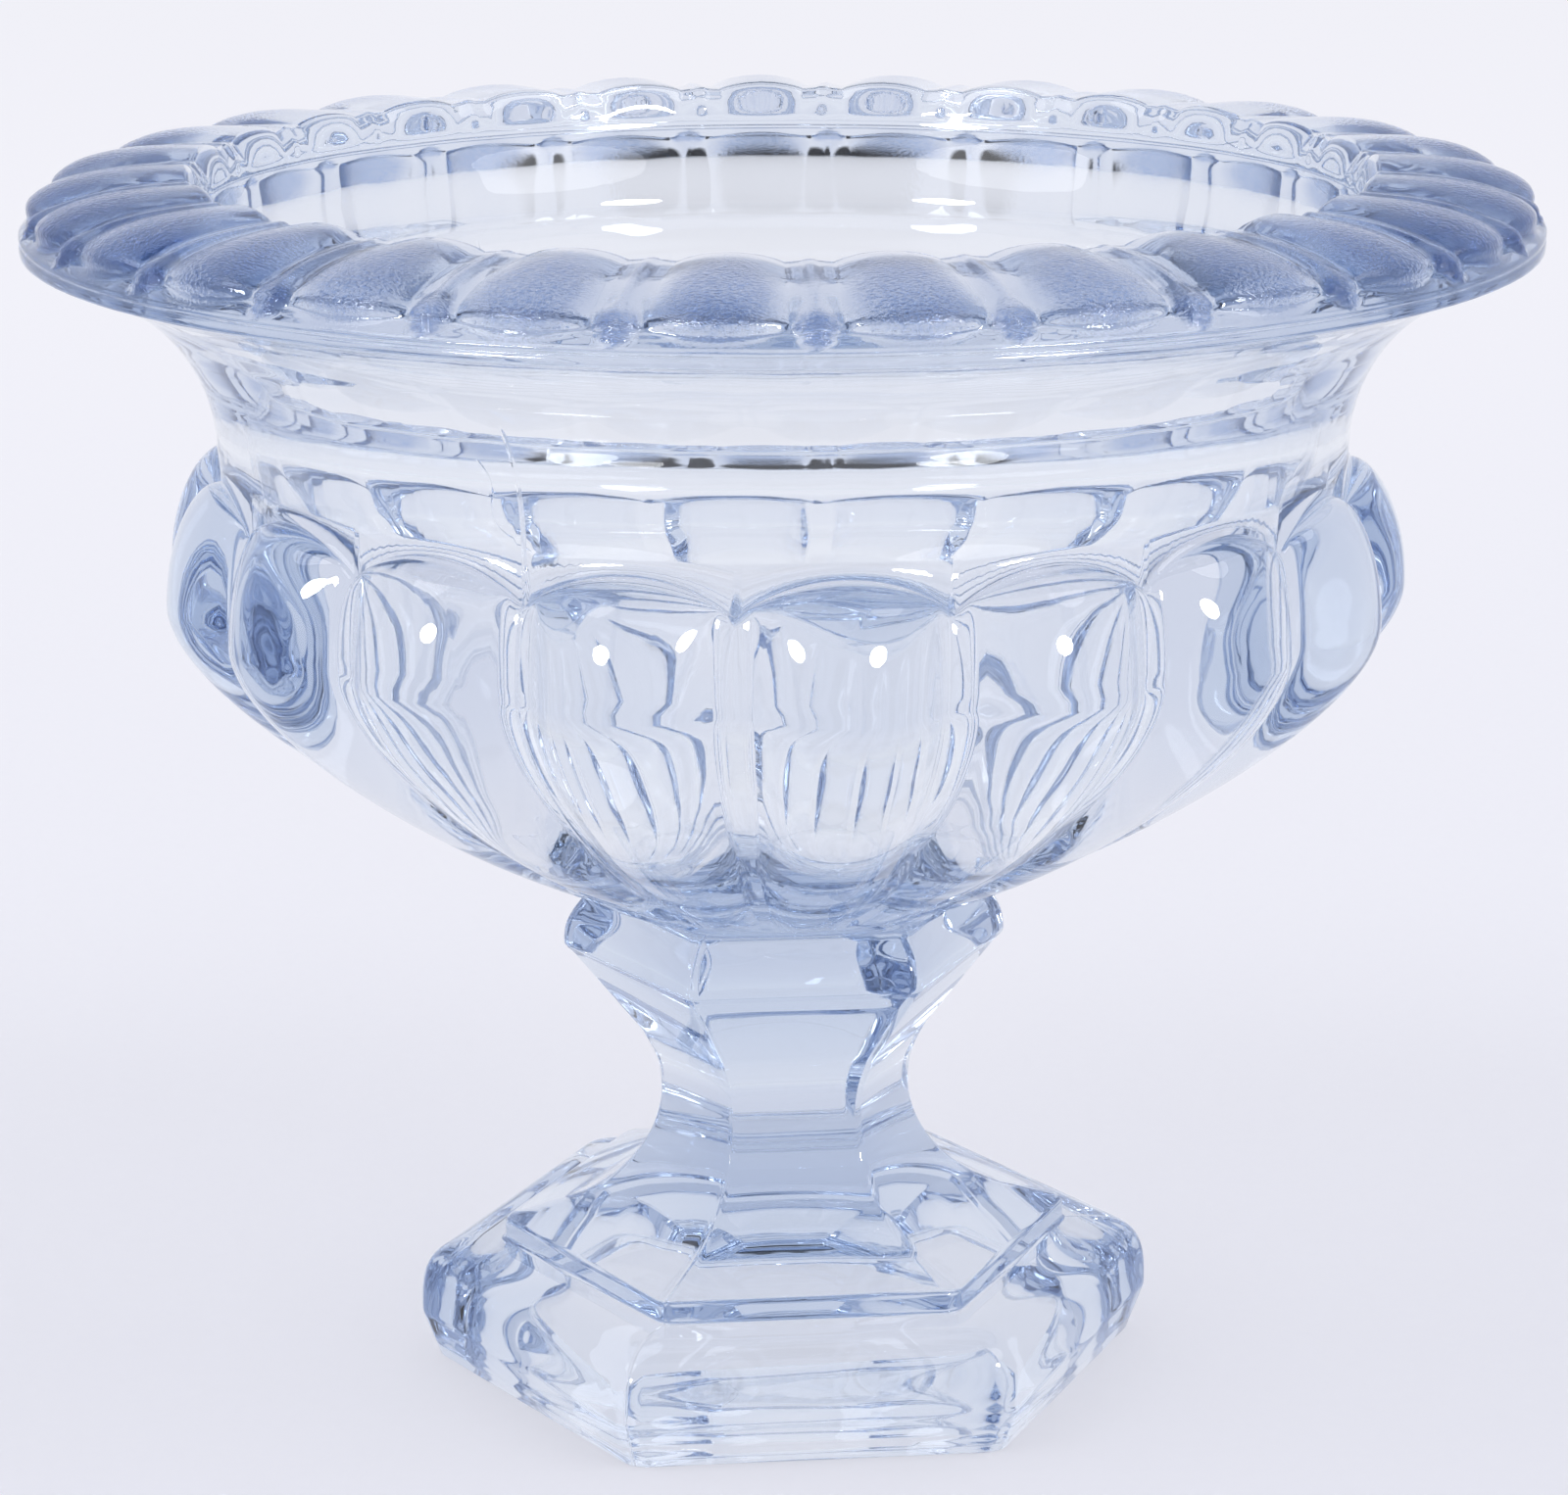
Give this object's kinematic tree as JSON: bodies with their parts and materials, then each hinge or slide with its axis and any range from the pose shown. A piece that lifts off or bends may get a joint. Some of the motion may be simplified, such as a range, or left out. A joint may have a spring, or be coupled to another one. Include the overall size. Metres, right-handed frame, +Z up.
{
  "type": "footed fruit bowl",
  "caption": "Footed fruit bowl in pressed glass: a lobed round bowl with a rolled gadrooned rim, joined hot by a wafer to a stepped six-sided pedestal foot.",
  "frame": {"origin": "on the table, under the middle of the foot", "axes": "+Z up along the axis of the bowl; +X through a corner of the six-sided foot; a flat side of the foot faces -Y, the front"},
  "size_m": [0.246, 0.246, 0.2059],
  "materials": {
    "pressed_glass": "fire-polished, pale ice blue, deeper blue where it is thick"
  },
  "bodies": {
    "root": {"bowl": "pressed_glass", "joining_wafer": "pressed_glass", "pedestal_foot": "pressed_glass"}
  },
  "joints": []
}
